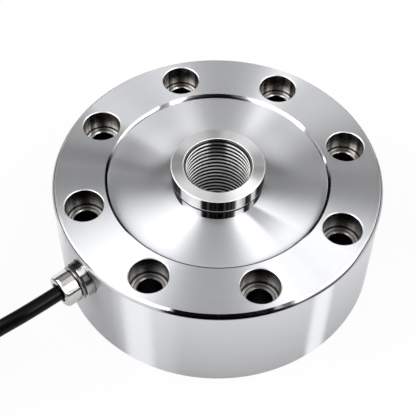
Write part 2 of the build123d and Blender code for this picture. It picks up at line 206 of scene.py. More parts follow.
def sector(tree, angle, middle, half, soft):
    """1 within so many degrees of the middle, falling to 0 over a soft edge."""
    nearness = math_node(tree, "COSINE", subtract(tree, angle, radians(middle)))
    return ramp_node(tree, nearness, cos(radians(half + soft)), cos(radians(half)))


# Effects that several materials share, each a node group with named sockets

def start_group(name, **numbers):
    """A node group that takes a Vector and these numbers."""
    group = bpy.data.node_groups.new(name, "ShaderNodeTree")
    group.interface.new_socket(name="Vector", in_out="INPUT", socket_type="NodeSocketVector")
    for label, value in numbers.items():
        socket = group.interface.new_socket(
            name=label.replace("_", " "), in_out="INPUT", socket_type="NodeSocketFloat"
        )
        socket.default_value = value
    return group, group.nodes.new("NodeGroupInput")


def end_group(group, **results):
    """Puts each result out of the group under its name."""
    for label in results:
        group.interface.new_socket(name=label, in_out="OUTPUT", socket_type="NodeSocketFloat")
    end = group.nodes.new("NodeGroupOutput")
    for label, result in results.items():
        group.links.new(result, end.inputs[label])
    return group


def make_turning_marks():
    """Rings that a lathe tool leaves: fine ones and a few broad ones, round the part's axis."""
    group, start = start_group("turning marks", Rings_per_metre=2500.0, Bands_per_metre=260.0)
    across, along, level = split_place(group, start.outputs["Vector"])
    radius = length_of(group, across, along)
    reach = add(group, radius, level)
    fine = noise_line(group, reach, start.outputs["Rings per metre"], 3.0)
    broad = noise_line(group, reach, start.outputs["Bands per metre"], 2.0)
    tone = add(group, multiply(group, fine, 0.4), multiply(group, broad, 0.6))
    return end_group(group, Height=fine, Tone=tone, Radius=radius)


def make_grain():
    """Fine uneven grain with larger soft patches, as moulded or plated surfaces have."""
    group, start = start_group("grain", Grains_per_metre=3000.0, Patches_per_metre=120.0)

    def noise(scale, detail):
        node = add_node(group, "ShaderNodeTexNoise")
        node.inputs["Detail"].default_value = detail
        group.links.new(start.outputs["Vector"], node.inputs["Vector"])
        group.links.new(start.outputs[scale], node.inputs["Scale"])
        return node.outputs["Fac"]

    return end_group(
        group, Height=noise("Grains per metre", 4.0), Patches=noise("Patches per metre", 2.0)
    )


def make_weave():
    """Threads over and under each other, for woven straps and glass cloth."""
    group, start = start_group("weave", Threads_per_metre=1200.0)
    scaled = add_node(group, "ShaderNodeVectorMath", operation="SCALE")
    group.links.new(start.outputs["Vector"], scaled.inputs[0])
    group.links.new(start.outputs["Threads per metre"], scaled.inputs["Scale"])
    across, along, up = [
        math_node(group, "SINE", multiply(group, side, pi))
        for side in split_place(group, scaled.outputs[0])
    ]
    lattice = absolute(group, multiply(group, across, along))
    height = add(group, lattice, absolute(group, multiply(group, up, 0.5)))
    return end_group(group, Height=height, Gaps=ramp_node(group, lattice, 0.0, 0.2, 1.0, 0.0))


def make_hole_place():
    """Where a point lies in its own bolt hole: the holes are folded onto one."""
    group, start = start_group("place in bolt hole")
    x, y, height = split_place(group, start.outputs["Vector"])
    share = 2 * pi / bolt_count
    hole = subtract(group, math_node(group, "DIVIDE", angle_of(group, x, y), share), 0.5)
    turn = multiply(group, add(group, math_node(group, "ROUND", hole), 0.5), share)
    across, along = [
        subtract(group, side, multiply(group, math_node(group, turned, turn), bolt_circle_radius))
        for side, turned in ((x, "COSINE"), (y, "SINE"))
    ]
    return end_group(
        group, Radius=length_of(group, across, along), Angle=angle_of(group, across, along),
        Height=height,
    )


hole_place = make_hole_place()
turning_marks = make_turning_marks()
grain = make_grain()
weave = make_weave()


def start_material(name, base, metallic, roughness, **fixed):
    """A material with its Principled shader and Object coordinates."""
    material = bpy.data.materials.new(name)
    material.use_nodes = True
    tree = material.node_tree
    shader = tree.nodes["Principled BSDF"]
    shader.inputs["Base Color"].default_value = (*base, 1.0)
    shader.inputs["Metallic"].default_value = metallic
    shader.inputs["Roughness"].default_value = roughness
    for label, value in fixed.items():
        shader.inputs[label.replace("_", " ")].default_value = value
    place = add_node(tree, "ShaderNodeTexCoord").outputs["Object"]
    return material, tree, shader, place


def use_group(tree, group, place, **values):
    node = add_node(tree, "ShaderNodeGroup", node_tree=group)
    tree.links.new(place, node.inputs["Vector"])
    for label, value in values.items():
        node.inputs[label.replace("_", " ")].default_value = value
    return node


def add_bump(tree, shader, height, strength, depth):
    bump = add_node(tree, "ShaderNodeBump")
    bump.inputs["Strength"].default_value = strength
    bump.inputs["Distance"].default_value = depth
    tree.links.new(height, bump.inputs["Height"])
    tree.links.new(bump.outputs["Normal"], shader.inputs["Normal"])


def paint(tree, shader, colour, pattern, low, high, margin=0.3):
    """Links the colour, and a roughness from low to high with a pattern between 0 and 1."""
    tree.links.new(colour, shader.inputs["Base Color"])
    tree.links.new(
        ramp_node(tree, pattern, margin, 1 - margin, low, high), shader.inputs["Roughness"]
    )


def stretch_reflections(tree, shader, anisotropy):
    """Spreads reflections across the rings that turning leaves round the part's axis."""
    shader.inputs["Anisotropic"].default_value = anisotropy
    shader.inputs["Anisotropic Rotation"].default_value = 0.25
    tangent = add_node(tree, "ShaderNodeTangent", direction_type="RADIAL", axis="Z")
    tree.links.new(tangent.outputs[0], shader.inputs["Tangent"])


def darker_and_lighter(base, spread):
    darker = tuple(part * (1 - spread) for part in base)
    lighter = tuple(min(1.0, part * (1 + spread)) for part in base)
    return darker, lighter


def turned_steel(name, base, roughness, anisotropy, bands=0.06, lines=(), shades=()):
    """Steel off the lathe: its fine rings spread each reflection across them.

    lines are painted lines of shade along edges of the top face: inner and outer radius, then
    middle, half and soft.
    shades are sectors darkened with painted shade: middle, half and soft, then their depth near the
    hub and far out.
    """
    material, tree, shader, place = start_material(name, base, 1.0, roughness)
    stretch_reflections(tree, shader, anisotropy)
    rings = use_group(tree, turning_marks, place)
    radius = rings.outputs["Radius"]
    colour = mix_colours(tree, rings.outputs["Tone"], *darker_and_lighter(base, bands))
    across, along, level = split_place(tree, place)
    angle = angle_of(tree, across, along)
    # Painted shade: dark lines along the top face's edge, only within their sectors
    for inner, outer, middle, half, soft in lines:
        line = band_node(tree, radius, (inner, inner + 0.0001), (outer - 0.0001, outer))
        on_top = ramp_node(tree, level, ring_top - 0.0006, ring_top - 0.0004)
        line = multiply(tree, line, on_top, sector(tree, angle, middle, half, soft))
        colour = mix_colours(tree, line, colour, grey(0.015))
    # Painted shade: darker sectors round the axis
    for middle, half, soft, near, far in shades:
        depth = ramp_node(tree, radius, 0.014, 0.036, near, far)
        shade = multiply(tree, sector(tree, angle, middle, half, soft), depth)
        colour = mix_colours(tree, shade, colour, grey(0.0))
    paint(
        tree, shader, colour, rings.outputs["Tone"], roughness * 0.97, roughness * 1.03, margin=0.2
    )
    add_bump(tree, shader, rings.outputs["Height"], 0.08, 0.00002)
    return material


def grained(name, base, metallic, roughness, depth=0.00002, spread=0.08, grains=3000.0, **fixed):
    """A surface with fine grain and soft patches of tone."""
    material, tree, shader, place = start_material(name, base, metallic, roughness, **fixed)
    marks = use_group(tree, grain, place, Grains_per_metre=grains)
    patches = marks.outputs["Patches"]
    colour = mix_colours(tree, patches, *darker_and_lighter(base, spread))
    paint(tree, shader, colour, patches, roughness * 0.85, roughness * 1.15)
    add_bump(tree, shader, marks.outputs["Height"], 0.2, depth)
    return material


def woven(name, base, gap, roughness, threads):
    material, tree, shader, place = start_material(name, base, 0.0, roughness)
    cloth = use_group(tree, weave, place, Threads_per_metre=threads)
    tree.links.new(mix_colours(tree, cloth.outputs["Gaps"], base, gap), shader.inputs["Base Color"])
    add_bump(tree, shader, cloth.outputs["Height"], 0.5, 0.0002)
    return material


# Painted shade lines at the recess's edge: in front and in two sectors at the sides
recess_shade_lines = (
    (recess_radius, recess_radius + recess_edge, front_side, 70.0, 12.0),
    (recess_radius, recess_radius + 0.0007, 155.0, 22.0, 8.0),
    (recess_radius, recess_radius + 0.0008, 301.0, 17.0, 8.0),
)
# Painted shade over the dish and ring: darker sectors and a dark beam out from the hub
dish_painted_shades = (
    (-4.0, 12.0, 20.0, 0.0, 0.48), (94.0, 12.0, 20.0, 0.0, 0.38), (121.0, 4.0, 12.0, 0.0, 0.35),
    (275.0, 3.5, 6.0, 0.65, 0.05),
)
# Painted shade: darker sectors over the hub's face
hub_painted_shades = (
    (2.0, 20.0, 22.0, 0.27, 0.27), (92.0, 34.0, 22.0, 0.38, 0.38), (176.0, 22.0, 20.0, 0.3, 0.3),
    (306.0, 4.0, 12.0, 0.22, 0.22),
)
body_steel = turned_steel(
    "turned body steel", (0.893, 0.9, 0.93), 0.58, 1.0, 0.025, recess_shade_lines, dish_painted_shades
)
hub_steel = turned_steel("satin hub face", grey(0.86), 0.5, 0.88, 0.02, shades=hub_painted_shades)


def ring_wall():
    """The ring's wall: turned, with painted upright bands of reflected light, painted shade by the
    gland and towards the foot, and a painted hairline of shade under its top edge.
    """
    material, tree, shader, place = start_material(
        "turned wall steel", (0.74, 0.74, 0.745), 1.0, 0.26
    )
    stretch_reflections(tree, shader, 0.85)
    across, along, level = split_place(tree, place)
    lines = noise_line(tree, level, 1400.0, 1.0)
    colour = mix_colours(tree, lines, (0.65, 0.657, 0.68), (0.67, 0.677, 0.70))
    jitter = multiply(tree, subtract(tree, lines, 0.5), 0.07)
    angle = add(tree, angle_of(tree, across, along), jitter)

    def brighten(colour, bands, light):
        """Upright bands of painted reflected light, each (middle, half, soft, strength)."""
        for middle, half, soft, strength in bands:
            band = multiply(tree, sector(tree, angle, middle, half, soft), strength)
            colour = mix_colours(tree, band, colour, light)
        return colour

    # Painted highlights: bright upright bands of reflected light
    colour = brighten(colour, (
        (306.0, 1.0, 9.0, 1.0), (156.0, 2.0, 14.0, 0.5), (20.0, 2.0, 22.0, 0.7),
        (80.0, 0.5, 9.0, 0.8), (118.0, 2.0, 16.0, 0.6),
    ), grey(1.0))
    # Painted shade: a darker upright band by the gland, as its shadow
    painted_gland_shade = multiply(tree, sector(tree, angle, 187.0, 3.0, 10.0), 0.45)
    colour = mix_colours(tree, painted_gland_shade, colour, grey(0.3))
    # Painted shade: the wall grows darker towards its foot
    low = ramp_node(tree, level, 0.0, ring_top, 0.6, 0.0, smooth=False)
    colour = mix_colours(tree, low, colour, (0.3, 0.3, 0.31))
    # Painted highlights: bluish-white upright bands of reflected light
    colour = brighten(colour, (
        (203.5, 1.5, 5.5, 0.8), (206.0, 2.0, 12.0, 0.3), (267.5, 0.8, 4.5, 0.95),
    ), (0.95, 0.975, 1.0))
    # Painted shade: a dark hairline just under the top edge
    hairline = ramp_node(tree, level, ring_top - 0.0019, ring_top - 0.0017)
    colour = mix_colours(tree, hairline, colour, grey(0.45))
    paint(tree, shader, colour, lines, 0.29, 0.31, margin=0.2)
    return material


def thread_steel():
    """Thread-cut steel: pale on the ridges, with painted shade between them and at the far side of
    the bore, and a painted highlight round its lip.
    """
    material, tree, shader, place = start_material(
        "thread-cut steel", grey(0.7), 0.12, 0.35, Specular_IOR_Level=0.1
    )
    across, along, level = split_place(tree, place)
    radius = length_of(tree, across, along)
    # Painted shade: near black between the ridges
    between = ramp_node(tree, radius, thread_crest + 0.00007, thread_crest + 0.00015)
    colour = mix_colours(tree, between, (0.98, 0.98, 0.97), grey(0.004))
    wave = math_node(tree, "SINE", multiply(tree, radius, 2 * pi / 0.0004))
    # Painted shade: fine dark rings over the inner part of the bore's chamfer
    ringed = mix_colours(
        tree, ramp_node(tree, wave, -0.3, 0.5), grey(0.008), (0.16, 0.16, 0.155)
    )
    mouth = ramp_node(tree, radius, thread_radius + 0.00001, thread_radius + 0.00006)
    colour = mix_colours(tree, mouth, colour, ringed)
    # Painted shade: the far side of the bore goes black towards its top
    high = ramp_node(tree, level, 0.032, 0.046)
    shade = sector(tree, angle_of(tree, across, along), far_side, 9.0, 12.0)
    colour = mix_colours(tree, multiply(tree, shade, high, 0.9), colour, grey(0.0))
    # Painted highlight: a pale line round the bore's lip, with grey outside it
    lip = ramp_node(tree, radius, bore_mouth - 0.00036, bore_mouth - 0.00031)
    colour = mix_colours(tree, lip, colour, grey(0.95))
    edge = ramp_node(tree, radius, bore_mouth - 0.0002, bore_mouth - 0.00016)
    colour = mix_colours(tree, edge, colour, grey(0.4))
    marks = use_group(tree, grain, place, Grains_per_metre=4000.0)
    paint(tree, shader, colour, marks.outputs["Patches"], 0.32, 0.42)
    add_bump(tree, shader, marks.outputs["Height"], 0.15, 0.00001)
    return material


def chamfer_steel(name, patches, outward=1.0, rim=False):
    """A turned edge or step, shaded as if it were rounded.

    patches are painted reflection and shade: (middle, half, soft, tone, level) round the axis,
    above that level.
    outward is 1 for the ring's rim and -1 for the recess. The rim has painted dark reflection low
    in front and is shaded flat there, and elsewhere is shaded as rounded into the top face and the
    wall, with a thin painted line of shade between them.
    """
    material, tree, shader, place = start_material(name, grey(0.88), 1.0, 0.14)
    rings = use_group(tree, turning_marks, place)
    colour = mix_colours(tree, rings.outputs["Tone"], grey(0.84), grey(0.92))
    across, along, level = split_place(tree, place)
    angle = angle_of(tree, across, along)
    # Painted reflection and shade: patches of darker or lighter tone round the axis
    for middle, half, soft, tone, lowest in patches:
        high = ramp_node(tree, level, lowest, lowest + 0.0001)
        patch = multiply(tree, sector(tree, angle, middle, half, soft), high)
        colour = mix_colours(tree, patch, colour, grey(tone))
    roughness = ramp_node(tree, rings.outputs["Tone"], 0.2, 0.8, 0.11, 0.16)
    if rim:
        radius = rings.outputs["Radius"]
        foot = (body_radius - 0.0006, body_radius - 0.0005)
        # Painted reflection: the lower part of the rim's front is dark
        front = sector(tree, angle, front_side + 2.0, 15.0, 8.0)
        around = subtract(tree, 1.0, front)
        low = ramp_node(tree, radius, *foot)
        colour = mix_colours(tree, multiply(tree, low, front), colour, grey(0.07))
        # Painted shade: a thin dark line across the rim, except in one bright sector
        lowered = multiply(tree, sector(tree, angle, 262.0, 9.0, 18.0), 0.0005)
        crease = (body_radius - 0.00095, body_radius - 0.00085)
        line = band_node(tree, subtract(tree, radius, lowered), crease, foot, 0.9)
        bright = sector(tree, angle, 203.0, 14.0, 6.0)
        lined = multiply(tree, around, subtract(tree, 1.0, bright))
        colour = mix_colours(tree, multiply(tree, line, lined), colour, grey(0.02))
        rounding = ramp_node(tree, radius, body_radius - 0.0008, foot[0], 3.0, -0.4)
        rise = add(tree, 1.0, multiply(tree, around, rounding))
        roughness = add(tree, roughness, multiply(tree, around, 0.25))
    else:
        rise = ramp_node(tree, level, recess_floor, ring_top, 0.85, 1.2)
        angle = add(tree, angle, multiply(tree, sector(tree, angle, 29.0, 5.0, 13.0), -0.1))
    tree.links.new(colour, shader.inputs["Base Color"])
    tree.links.new(roughness, shader.inputs["Roughness"])
    lean = add_node(tree, "ShaderNodeCombineXYZ")
    tree.links.new(rise, lean.inputs[2])
    for slot, turned in zip(lean.inputs, ("COSINE", "SINE")):
        tree.links.new(multiply(tree, math_node(tree, turned, angle), outward), slot)
    turn = add_node(
        tree, "ShaderNodeVectorTransform", vector_type="NORMAL", convert_from="OBJECT",
        convert_to="WORLD",
    )
    tree.links.new(lean.outputs[0], turn.inputs[0])
    tree.links.new(turn.outputs[0], shader.inputs["Normal"])
    return material


wall_steel = ring_wall()
bore_steel = thread_steel()
# Painted reflection on the rim: darker sectors, one of them near black
edge_steel = chamfer_steel(
    "bright chamfer steel",
    ((145.0, 10.0, 8.0, 0.5, 0.0), (313.0, 12.0, 8.0, 0.5, 0.0), (284.0, 20.0, 6.0, 0.5, 0.0),
     (251.0, 3.0, 4.0, 0.08, 0.0)),
    rim=True,
)
# Painted reflection and shade on the step: darker sectors, and a near-black line of painted shade
# along its top in front
step_steel = chamfer_steel(
    "bright step steel",
    ((56.0, 50.0, 8.0, 0.34, 0.0), (345.0, 9.0, 6.0, 0.1, 0.0), (81.0, 1.5, 3.0, 0.08, 0.0),
     (228.0, 99.0, 5.0, 0.02, ring_top - 0.0005)),
    outward=-1.0,
)
rim_steel = turned_steel("hole rim steel", grey(0.8), 0.5, 0.0, 0.03)


def polished_collar():
    """The hub's polished wall: painted broad bands of dark and bright reflection, a painted
    highlight along its rim and painted shade under it.
    """
    material, tree, shader, place = start_material(
        "polished collar steel", grey(0.88), 1.0, 0.2, Anisotropic=0.5,
        Specular_Tint=(0.45, 0.45, 0.45, 1.0),
    )
    across, along, level = split_place(tree, place)
    angle = angle_of(tree, across, along)
    turns = math_node(tree, "DIVIDE", subtract(tree, angle, radians(front_side)), 2 * pi)

    def from_middle(repeats, shift=0.0):
        """How far the nearest of so many bands is, as a share of the step between them."""
        count = subtract(tree, multiply(tree, turns, repeats), shift)
        return absolute(tree, subtract(tree, count, math_node(tree, "ROUND", count)))

    # Painted reflection: broad and thin bands of dark streaked reflection between bright ones
    broad = ramp_node(tree, from_middle(5.0), 0.265, 0.325, 1.0, 0.0)
    thin = ramp_node(tree, from_middle(3.0, 0.32), 0.03, 0.045, 0.95, 0.0)
    streaks = ramp_node(tree, noise_line(tree, angle, 7.0, 2.0), 0.42, 0.72)
    deep = mix_colours(tree, streaks, grey(0.006), (0.15, 0.135, 0.12))
    colour = mix_colours(tree, math_node(tree, "MAXIMUM", broad, thin), grey(0.93), deep)
    above = subtract(tree, level, collar_foot)
    # Painted highlight along the collar's lower edge
    rim = band_node(tree, above, (0.0001, 0.0002), (0.0005, 0.0007))
    colour = mix_colours(tree, rim, colour, grey(0.97))
    # Painted shade on the neck just under the collar
    shade = band_node(tree, above, (-0.0014, -0.0012), (0.0, 0.0001))
    colour = mix_colours(tree, shade, colour, grey(0.02))
    marks = use_group(tree, grain, place, Grains_per_metre=4000.0)
    paint(tree, shader, colour, marks.outputs["Patches"], 0.16, 0.24)
    add_bump(tree, shader, marks.outputs["Height"], 0.1, 0.00001)
    return material


def bored_steel():
    """Counterbored steel: streaked wall darkened with painted shade, lighter in the far holes;
    bright turned shelf with painted shade in its corner and a thin dark line; through hole painted
    near black as shade.
    """
    material, tree, shader, place = start_material("bored steel", (0.2, 0.19, 0.18), 1.0, 0.28)
    hole = use_group(tree, hole_place, place)
    radius, angle, height = (hole.outputs[label] for label in ("Radius", "Angle", "Height"))
    across, along, level = split_place(tree, place)
    # Painted light and shade: the walls of the far holes are lighter, those of the near holes
    # darker
    far_holes = sector(tree, angle_of(tree, across, along), far_side, 50.0, 60.0)
    near_holes = subtract(tree, 1.0, multiply(tree, far_holes, 0.8))
    painted_hole_shade = (0.015, 0.013, 0.012)
    streaks = ramp_node(tree, noise_line(tree, angle, 2.2, 3.0), 0.35, 0.7)
    streaked = mix_colours(tree, far_holes, (0.085, 0.074, 0.066), (0.42, 0.39, 0.36))
    wall = mix_colours(tree, streaks, painted_hole_shade, streaked)
    # Painted shade: the wall darkens towards its top, mostly in the near holes
    upper = ramp_node(tree, height, bolt_shelf + 0.0011, ring_top - 0.0005, 0.0, 0.75)
    upper = multiply(tree, upper, near_holes)
    wall = mix_colours(tree, upper, wall, painted_hole_shade)
    rings = ramp_node(tree, noise_line(tree, radius, 3500.0, 2.0), 0.3, 0.7)
    shelf = mix_colours(tree, rings, (0.62, 0.61, 0.6), (0.95, 0.94, 0.93))
    # Painted shade in the shelf's corner at the wall; a thin dark line further in
    corner = ramp_node(tree, radius, bolt_seat_radius - 0.0005, bolt_seat_radius - 0.0003)
    line = band_node(tree, radius, (0.0053, 0.00545), (0.0056, 0.00575))
    shelf = mix_colours(tree, math_node(tree, "MAXIMUM", corner, line), shelf, grey(0.03))
    on_wall = ramp_node(tree, height, bolt_shelf + 0.0001, bolt_shelf + 0.0004)
    # Painted shade: the through hole below the shelf is near black
    in_hole = ramp_node(tree, height, bolt_shelf - 0.0004, bolt_shelf - 0.0002, 1.0, 0.0)
    colour = mix_colours(tree, on_wall, shelf, wall)
    colour = mix_colours(tree, in_hole, colour, grey(0.02))
    paint(tree, shader, colour, noise_line(tree, height, 1800.0, 2.0), 0.27, 0.31)
    add_bump(tree, shader, rings, 0.2, 0.00002)
    return material


collar_steel = polished_collar()
seat_steel = bored_steel()
cover_steel = turned_steel("cover steel", (0.68, 0.68, 0.69), 0.32, 0.7)
screw_steel = grained("screw steel", (0.62, 0.62, 0.64), 1.0, 0.28)


def nickel_plating(name, tones, roughness, grooves=()):
    """Nickel plate with painted bands of light, shade and reflection round the gland's axis.

    tones are (degrees, tone) pairs of painted light, shade and reflection. grooves are dark rings,
    from one place to another along X.
    """
    material, tree, shader, place = start_material(name, (0.75, 0.74, 0.72), 1.0, roughness)
    out, across, level = split_place(tree, place)
    angle = angle_of(tree, subtract(tree, level, gland_height), across)
    ramp = add_node(tree, "ShaderNodeValToRGB")
    share = add(tree, math_node(tree, "DIVIDE", angle, 2 * pi), 0.5)
    tree.links.new(share, ramp.inputs["Fac"])
    stops = ramp.color_ramp.elements
    for number, (degrees, tone) in enumerate(tones):
        position = degrees / 360 + 0.5
        stop = stops[number] if number < 2 else stops.new(position)
        stop.position = position
        stop.color = (tone, tone * 0.985, tone * 0.96, 1.0)
    marks = use_group(tree, grain, place, Grains_per_metre=5000.0, Patches_per_metre=400.0)
    patches = marks.outputs["Patches"]
    patchy = ramp_node(tree, patches, 0.3, 0.7, 0.92, 1.0)
    colour = mix_colours(tree, 1.0, ramp.outputs["Color"], patchy, "MULTIPLY")
    for start, end in grooves:
        groove = band_node(tree, out, (start, start + 0.00005), (end - 0.00005, end))
        colour = mix_colours(tree, groove, colour, (0.05, 0.035, 0.03))
    paint(tree, shader, colour, patches, roughness * 0.8, roughness * 1.2)
    add_bump(tree, shader, marks.outputs["Height"], 0.1, 0.00001)
    return material


# Painted light, shade and reflection round the gland's axis, for the boss, lock ring and nut
boss_nickel = nickel_plating("nickel boss", (
    (-180, 0.5), (180, 0.5), (-110, 0.45), (-66, 0.35), (-56, 0.1), (-26, 0.02),
    (-20, 0.7), (-3, 0.75), (3, 0.05), (40, 0.03), (75, 0.2), (110, 0.75), (140, 0.3),
), 0.2)
ring_nickel = nickel_plating("nickel lock ring", (
    (-180, 0.4), (180, 0.4), (-110, 0.28), (-60, 0.32), (-30, 0.2), (0, 0.6), (40, 0.4), (100, 0.4),
), 0.16, (
    (nut_foot + 0.00023, nut_foot + 0.00045), (lock_ring_foot - 0.0002, lock_ring_foot + 0.0001),
))
nut_nickel = nickel_plating("nickel nut", (
    (-180, 0.5), (180, 0.5), (-125, 0.5), (-62, 0.6), (-58, 0.3), (-32, 0.42), (-4, 0.5),
    (2, 0.8), (30, 0.8), (60, 0.9), (70, 0.6), (120, 0.65),
), 0.14, ((nut_foot - 0.00045, nut_foot + 0.0001),))
gland_black = grained("gland rubber", grey(0.022), 0.0, 0.5)
gasket_black = grained("gasket rubber", (0.03, 0.03, 0.032), 0.0, 0.75)
jacket = grained(
    "cable jacket", (0.002, 0.002, 0.0025), 0.0, 0.2, 0.00003, 0.2, 900.0, Specular_IOR_Level=0.09
)
tin = grained("tinned copper", (0.8, 0.8, 0.78), 1.0, 0.3, 0.00003)
tie_cloth = woven("woven tie", (0.035, 0.035, 0.037), grey(0.012), 0.85, 1800.0)
board_green = woven("circuit board", (0.03, 0.2, 0.07), (0.06, 0.3, 0.12), 0.35, 1500.0)


def inner_metal(name, base, roughness, metal, pattern):
    """Film, lacquer or sheath with metal showing where the pattern is 1.

    The pattern is made from the place along a spoke, the place aside of an axis and the height.
    """
    material, tree, shader, place = start_material(name, base, 0.0, roughness)
    x, y, level = split_place(tree, place)
    sides = [absolute(tree, side) for side in (x, y)]
    along = multiply(tree, add(tree, *sides), cos(pi / 4))
    aside = math_node(tree, "MINIMUM", *sides)
    mask = pattern(tree, along, aside, level)
    tree.links.new(mask, shader.inputs["Metallic"])
    marks = use_group(tree, grain, place, Grains_per_metre=3000.0)
    paint(
        tree, shader, mix_colours(tree, mask, base, metal), marks.outputs["Patches"],
        roughness * 0.85, roughness * 1.15,
    )
    return material


gauge_centre = [(low + high) / 2 for low, high in zip(*box_of("strain_gauge_1"))]
gauge_middle_r = (abs(gauge_centre[0]) + abs(gauge_centre[1])) * cos(pi / 4)
gauge_middle_z = gauge_centre[2]


def foil_grid(tree, along, aside, level):
    """Slanted foil lines over the middle of the film."""
    right = subtract(tree, along, gauge_middle_r)
    up = subtract(tree, level, gauge_middle_z)
    slant = multiply(tree, add(tree, right, up), 2 * pi / 0.0005)
    lines = ramp_node(tree, math_node(tree, "SINE", slant), -0.2, 0.2)
    reach = math_node(tree, "MAXIMUM", absolute(tree, right), absolute(tree, up))
    return multiply(tree, lines, ramp_node(tree, reach, 0.0024, 0.0025, 1.0, 0.0))


def soldered_ends(tree, along, aside, level):
    """The caps at both ends of a resistor."""
    return ramp_node(tree, aside, 0.0018, 0.00185)


def bare_strands(tree, along, aside, level):
    """Conductors side by side across the ribbon."""
    right = subtract(tree, along, gauge_middle_r)
    wave = math_node(tree, "COSINE", multiply(tree, right, 2 * pi / 0.0006))
    return ramp_node(tree, wave, 0.4, 0.7)


chip_blue = inner_metal(
    "resistor lacquer", (0.08, 0.22, 0.42), 0.3, (0.8, 0.8, 0.78), soldered_ends
)
gauge_amber = inner_metal("gauge film", (0.7, 0.4, 0.09), 0.22, (0.62, 0.5, 0.42), foil_grid)
ribbon_grey = inner_metal("ribbon", (0.42, 0.42, 0.44), 0.4, (0.75, 0.6, 0.45), bare_strands)
core_paints = {
    "red": grained("red core", (0.5, 0.025, 0.02), 0.0, 0.35),
    "black": grained("black core", grey(0.018), 0.0, 0.35),
    "green": grained("green core", (0.02, 0.24, 0.05), 0.0, 0.35),
    "white": grained("white core", (0.82, 0.82, 0.8), 0.0, 0.35),
}

slot_paints = {
    "body_steel": body_steel,
    "cover_steel": cover_steel,
    "screw_steel": screw_steel,
    "gasket_rubber": gasket_black,
    "board": board_green,
    "resistor": chip_blue,
    "gauge_film": gauge_amber,
    "tinned_pad": tin,
    "ribbon": ribbon_grey,
    "gland_metal": boss_nickel,
    "gland_rubber": gland_black,
    "cable_jacket": jacket,
    "tinned_wire": tin,
    "tie": tie_cloth,
}
for colour, core_paint in core_paints.items():
    slot_paints[f"core_{colour}"] = core_paint
node_slots = {part["node"]: part["material_slot"] for part in frame["record"]["subparts"]}
for name, node in cad.items():
    node.data.materials.clear()
    node.data.materials.append(slot_paints[node_slots[name]])


# Pieces

def pick(piece):
    bpy.ops.object.select_all(action="DESELECT")
    piece.select_set(True)
    bpy.context.view_layer.objects.active = piece


def smooth(piece, angle):
    pick(piece)
    bpy.ops.object.shade_smooth_by_angle(angle=radians(angle))


def dress(piece, *stands_for, slot=None):
    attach(piece, "root")
    if stands_for:
        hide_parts(*stands_for)


def place_in_scene(name, data):
    piece = bpy.data.objects.new(name, data)
    scene.collection.objects.link(piece)
    return piece


def solid_copy(node_name, piece_name, paints, angle=30):
    """A merged, smooth-shaded copy of a CAD node, to be dressed in its place."""
    mesh = cad[node_name].data.copy()
    mesh.materials.clear()
    for finish in paints:
        mesh.materials.append(finish)
    piece = place_in_scene(piece_name, mesh)
    pick(piece)
    if mesh.has_custom_normals:
        bpy.ops.mesh.customdata_custom_splitnormals_clear()
    bpy.ops.object.mode_set(mode="EDIT")
    bpy.ops.mesh.select_all(action="SELECT")
    bpy.ops.mesh.remove_doubles(threshold=0.000002)
    bpy.ops.object.mode_set(mode="OBJECT")
    smooth(piece, angle)
    dress(piece, node_name, slot=node_slots[node_name])
    return piece


bolt_places = []
for number in range(bolt_count):
    turn = radians((number + 0.5) * 360 / bolt_count)
    bolt_places.append(Vector((cos(turn), sin(turn), 0)) * bolt_circle_radius)


def steel_for(centre, normal):
    """A facet's finish by its place and slope."""
    flat = Vector((centre.x, centre.y, 0))
    slope = abs(normal.z)
    above_floor = centre.z > recess_floor - 0.0005
    if flat.length < bore_mouth and slope < 0.9:
        return bore_steel
    for place in bolt_places:
        near = (flat - place).length < bolt_seat_radius + 0.00045
        if near and centre.z > ring_top - 0.0005 and 0.3 < normal.z < 0.95:
            return rim_steel
        if near and not (normal.z > 0.98 and above_floor):
            return seat_steel
    if slope < 0.97 and above_floor and abs(flat.length - recess_radius) < 0.0007:
        return step_steel
    if 0.15 < slope < 0.97 and centre.z > recess_floor - 0.001:
        return edge_steel if flat.length > bolt_circle_radius else rim_steel
    if slope < 0.15:
        on_collar = flat.length < collar_radius + 0.0005 and centre.z > collar_foot - 0.005
        return collar_steel if on_collar else wall_steel
    return hub_steel if centre.z > hub_top - 0.0005 else body_steel


body_paints = (body_steel, seat_steel, edge_steel, wall_steel, hub_steel, collar_steel,
               bore_steel, step_steel, rim_steel)
body = solid_copy("flexure_body", "load_cell_body", body_paints)
for face in body.data.polygons:
    face.material_index = body_paints.index(steel_for(face.center, face.normal))


